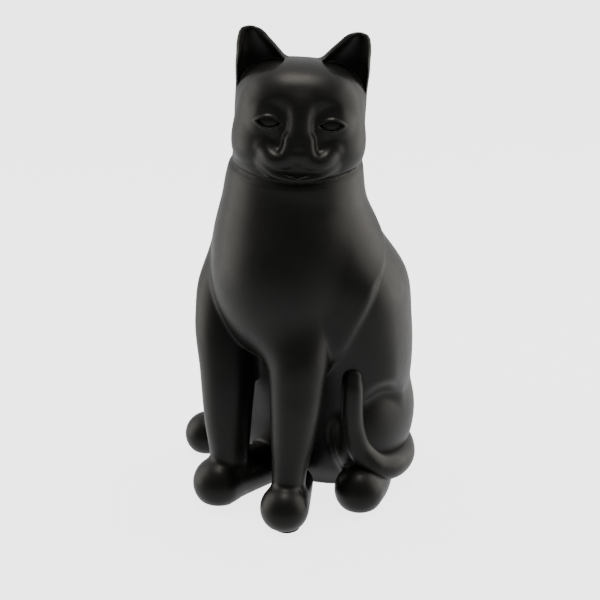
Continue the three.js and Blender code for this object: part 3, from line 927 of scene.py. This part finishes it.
# A disc in the place of the CAD pad, laid out ring by ring and always in the same order, because
# the fuzz is scattered face by face.
def makePad(name, node, tree, sockets, seed):
    low, high = (Vector(corner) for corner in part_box(node))
    middle, radius = (low + high) / 2, (high.x - low.x) / 2
    top, edge = high.z - low.z, pads["edge"] * mm
    profile = [(radius - 2 * edge, 0), (radius - edge, edge * 0.6), (radius - edge * 0.6, top / 2),
               (radius - edge, top - edge * 0.6), (radius - 2 * edge, top)]
    turns = [2 * math.pi * i / pads["sides"] for i in range(pads["sides"])]
    points = [(middle.x, middle.y, low.z), (middle.x, middle.y, high.z)]
    points += [(middle.x + x * math.cos(t), middle.y + x * math.sin(t), low.z + z)
               for x, z in profile for t in turns]
    faces = []
    for i in range(len(turns)):
        j = (i + 1) % len(turns)
        rows = [(2 + row * len(turns) + i, 2 + row * len(turns) + j) for row in range(len(profile))]
        faces.append((0, rows[0][1], rows[0][0]))
        faces += [(a, b, d, c) for (a, b), (c, d) in zip(rows[:-1], rows[1:])]
        faces.append((1, rows[-1][0], rows[-1][1]))
    mesh = bpy.data.meshes.new(name)
    mesh.from_pydata(points, [], faces)
    mesh.polygons.foreach_set("use_smooth", [True] * len(faces))
    obj = bpy.data.objects.new(name, mesh)
    bpy.context.scene.collection.objects.link(obj)
    fuzz = obj.modifiers.new("fuzz", "NODES")
    fuzz.node_group = tree
    fuzz[sockets["Density"]] = pads["fibresPerMm"] * 1e6
    fuzz[sockets["Fibre Length"]] = pads["fibre"] * mm
    fuzz[sockets["Fibre Radius"]] = pads["thick"] / 2 * mm
    fuzz[sockets["Seed"]] = seed
    fuzz[sockets["Material"]] = felt
    bake(obj)
    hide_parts(node)
    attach(obj, "figure")
    print("stage:", name, len(obj.data.polygons))


fuzzTree, fuzzSockets = makeFuzz()
makePad("padFrontLeft", "pad_front_left", fuzzTree, fuzzSockets, pads["seed"])
makePad("padFrontRight", "pad_front_right", fuzzTree, fuzzSockets, pads["seed"] + 1)
makePad("padRearLeft", "pad_rear_left", fuzzTree, fuzzSockets, pads["seed"] + 2)
makePad("padRearRight", "pad_rear_right", fuzzTree, fuzzSockets, pads["seed"] + 3)

studio = {
    "floorSize": 9.0,
    "floor": "F4F4F2",
    "lamp": "FFF7EC",
    "floorGlow": 3.0,  # a lit acrylic table: no hard shadow under the figurine
    "front": 0.11,  # dim room behind the camera
    "back": 0.7,  # white sweep behind the figurine
    "below": 0.4,  # the pale table as the glaze mirrors it
    "seen": 0.95,  # what shows behind the table
    "turn": (-0.55, 0.6),  # where the room goes from dim to pale, as a share of the way round
    "deep": -0.45,  # how far down the table's glow is full
    "lights": {  # azimuth from the camera, elevation, width and height in metres, watts
        "softboxLeft": (-97, 14, (0.7, 1.0), 3.3),
        "softboxRight": (100, 14, (1.1, 1.0), 4.6),
        "softboxTop": (0, 84, (0.28, 0.28), 2.2),
    },
    "lightDistance": 0.9,
    "lightAim": 0.1,  # height they point at
}


def makeFloor():
    mesh = bpy.data.meshes.new("floor")
    half = studio["floorSize"] / 2
    corners = [(-half, -half, 0), (half, -half, 0), (half, half, 0), (-half, half, 0)]
    mesh.from_pydata(corners, [], [(0, 1, 2, 3)])
    obj = bpy.data.objects.new("floor", mesh)
    bpy.context.scene.collection.objects.link(obj)
    mesh.materials.append(newMaterial("paleAcrylicTable", {
        "Base Color": linear(studio["floor"]), "Roughness": 0.6, "Emission Color": linear("FFFFFF"),
        "Emission Strength": studio["floorGlow"]})[0])
    obj.visible_glossy = obj.visible_diffuse = False  # the glaze sees the dim room, not the lit table


# Stands a camera or a light at a spot, pointed at its target.
def aimed(obj, spot, target):
    obj.location = Vector(spot)
    obj.rotation_euler = (Vector(target) - Vector(spot)).to_track_quat("-Z", "Y").to_euler()
    bpy.context.scene.collection.objects.link(obj)


# Millimetres, but the azimuth in degrees towards the cat's left.
cameraPlan = {"azimuth": 35.0, "distance": 405.2, "height": 252.9, "aim": (15.3, 0.0, 100.6),
              "lens": 61.56, "sensor": 36}


def makeCamera():
    data = bpy.data.cameras.new("camera")
    data.lens = cameraPlan["lens"]
    data.sensor_width = cameraPlan["sensor"]
    camera = bpy.data.objects.new("camera", data)
    angle = math.radians(cameraPlan["azimuth"])
    aim = (np.array(cameraPlan["aim"]) + shift) * mm
    away = cameraPlan["distance"] * mm
    x, y = aim[0] + away * math.sin(angle), aim[1] - away * math.cos(angle)
    spot = (x, y, cameraPlan["height"] * mm)
    aimed(camera, spot, aim)
    bpy.context.scene.camera = camera


def makeLight(name, azimuth, elevation, size, power):
    data = bpy.data.lights.new(name, "AREA")
    data.shape = "RECTANGLE"
    data.size, data.size_y = size
    data.energy = power
    data.color = linear(studio["lamp"])[:3]
    light = bpy.data.objects.new(name, data)
    a, e = math.radians(cameraPlan["azimuth"] + azimuth), math.radians(elevation)
    distance, aim = studio["lightDistance"], studio["lightAim"]
    x, y = distance * math.sin(a) * math.cos(e), -distance * math.cos(a) * math.cos(e)
    aimed(light, (x, y, aim + distance * math.sin(e)), (0, 0, aim))


# Dim on the side the figurine faces the camera from, pale behind it.
def makeWorld():
    world = bpy.data.worlds.new("studio")
    bpy.context.scene.world = world
    world.use_nodes = True
    tree = world.node_tree
    angle = math.radians(cameraPlan["azimuth"])
    way = add(tree, "ShaderNodeTexCoord").outputs["Generated"]
    facing = add(tree, "ShaderNodeVectorMath", {"operation": "DOT_PRODUCT"})
    facing.inputs[1].default_value = (-math.sin(angle), math.cos(angle), 0)
    tree.links.new(way, facing.inputs[0])
    dim, pale = studio["turn"]
    around = {"interpolation_type": "SMOOTHSTEP", "From Min": dim, "From Max": pale,
              "To Min": studio["front"], "To Max": studio["back"]}
    ramp = add(tree, "ShaderNodeMapRange", around, Value=facing.outputs["Value"])
    up = add(tree, "ShaderNodeSeparateXYZ", Vector=way).outputs["Z"]
    under = {"interpolation_type": "SMOOTHSTEP", "From Min": 0.0, "From Max": studio["deep"],
             "To Min": 0.0, "To Max": studio["below"]}
    low = add(tree, "ShaderNodeMapRange", under, Value=up).outputs["Result"]
    total = add(tree, "ShaderNodeMath", {"operation": "ADD"})
    tree.links.new(ramp.outputs["Result"], total.inputs[0])
    tree.links.new(low, total.inputs[1])
    seen = add(tree, "ShaderNodeLightPath").outputs["Is Camera Ray"]
    level = add(tree, "ShaderNodeMix", {"data_type": "FLOAT"})
    level.inputs["B"].default_value = studio["seen"]
    tree.links.new(seen, level.inputs["Factor"])
    tree.links.new(total.outputs[0], level.inputs["A"])
    tree.links.new(level.outputs["Result"], tree.nodes["Background"].inputs["Strength"])
    tree.nodes["Background"].inputs["Color"].default_value = (1, 1, 1, 1)


makeFloor()
makeCamera()
for name, plan in studio["lights"].items():
    makeLight(name, *plan)
makeWorld()

print("stage: done")
